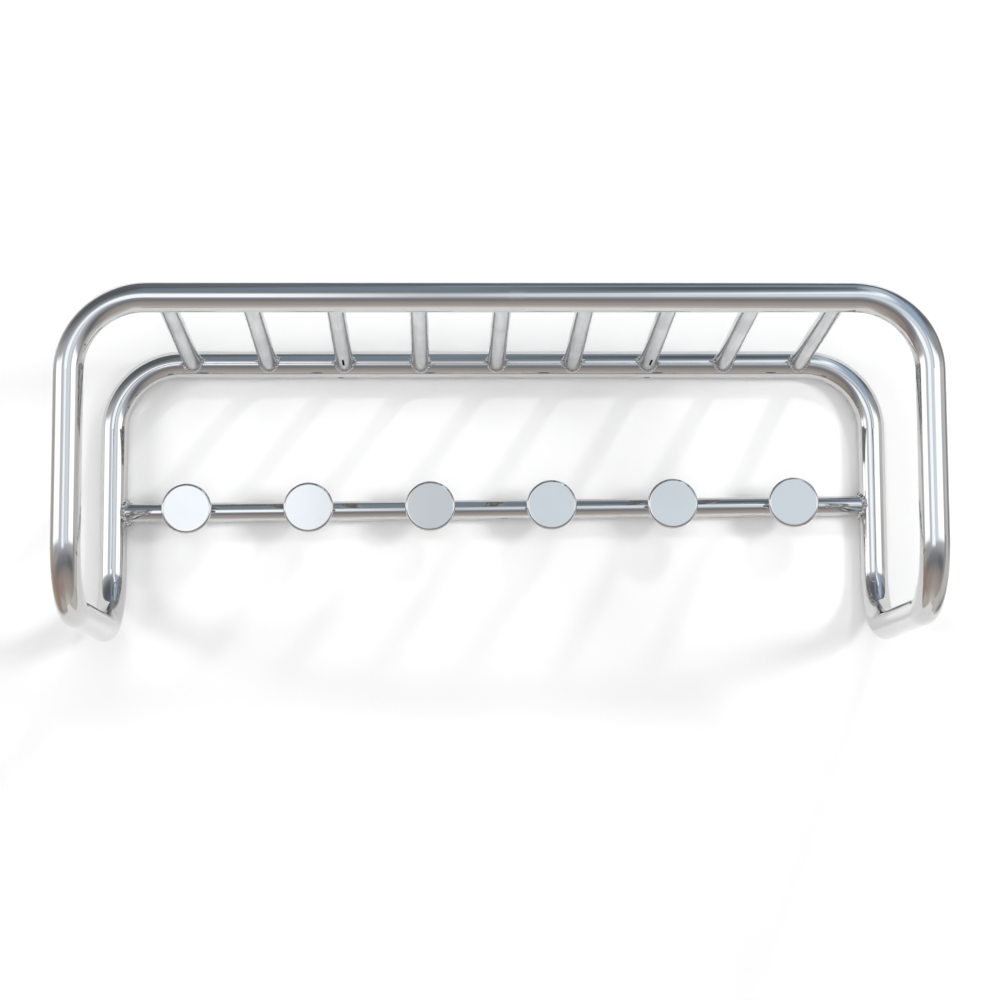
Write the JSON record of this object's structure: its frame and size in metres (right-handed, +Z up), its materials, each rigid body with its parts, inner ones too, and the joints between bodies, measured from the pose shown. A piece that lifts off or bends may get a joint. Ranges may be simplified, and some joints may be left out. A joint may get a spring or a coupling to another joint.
{
  "type": "wall hook rack",
  "caption": "Wall coat rack of bent round tube: a hat shelf of round bars over a rail of disc hooks, fixed on hidden wall studs.",
  "frame": {"origin": "on the wall plane behind the rear top tube, midway between its two stud holes, at the height of that tube's axis", "axes": "+X to the right as seen from the room, +Y into the wall, +Z up"},
  "size_m": [0.739, 0.292, 0.282],
  "materials": {
    "chrome": "bright chrome plate on steel, lightly worn",
    "hazed_chrome": "chrome plate hazed by fine lengthwise scratches",
    "zinc_steel": "zinc plated steel, dull"
  },
  "bodies": {
    "root": {"left_frame_tube": "chrome", "right_frame_tube": "chrome", "shelf_front_welds": "chrome", "shelf_rear_welds": "chrome", "hook_rail": "chrome", "rail_left_weld": "chrome", "rail_right_weld": "chrome", "hook_neck_1": "chrome", "hook_neck_2": "chrome", "hook_neck_3": "chrome", "hook_neck_4": "chrome", "hook_neck_5": "chrome", "hook_neck_6": "chrome", "hook_disc_1": "chrome", "hook_disc_2": "chrome", "hook_disc_3": "chrome", "hook_disc_4": "chrome", "hook_disc_5": "chrome", "hook_disc_6": "chrome", "hook_neck_welds": "chrome", "shelf_bar_1": "hazed_chrome", "shelf_bar_2": "hazed_chrome", "shelf_bar_3": "hazed_chrome", "shelf_bar_4": "hazed_chrome", "shelf_bar_5": "hazed_chrome", "shelf_bar_6": "hazed_chrome", "shelf_bar_7": "hazed_chrome", "shelf_bar_8": "hazed_chrome", "shelf_bar_9": "hazed_chrome", "front_joint_sleeve": "zinc_steel", "rear_joint_sleeve": "zinc_steel", "tube_stud_blocks": "zinc_steel", "rail_stud_block": "zinc_steel", "tube_grub_screws": "zinc_steel", "rail_grub_screw": "zinc_steel"}
  },
  "joints": []
}
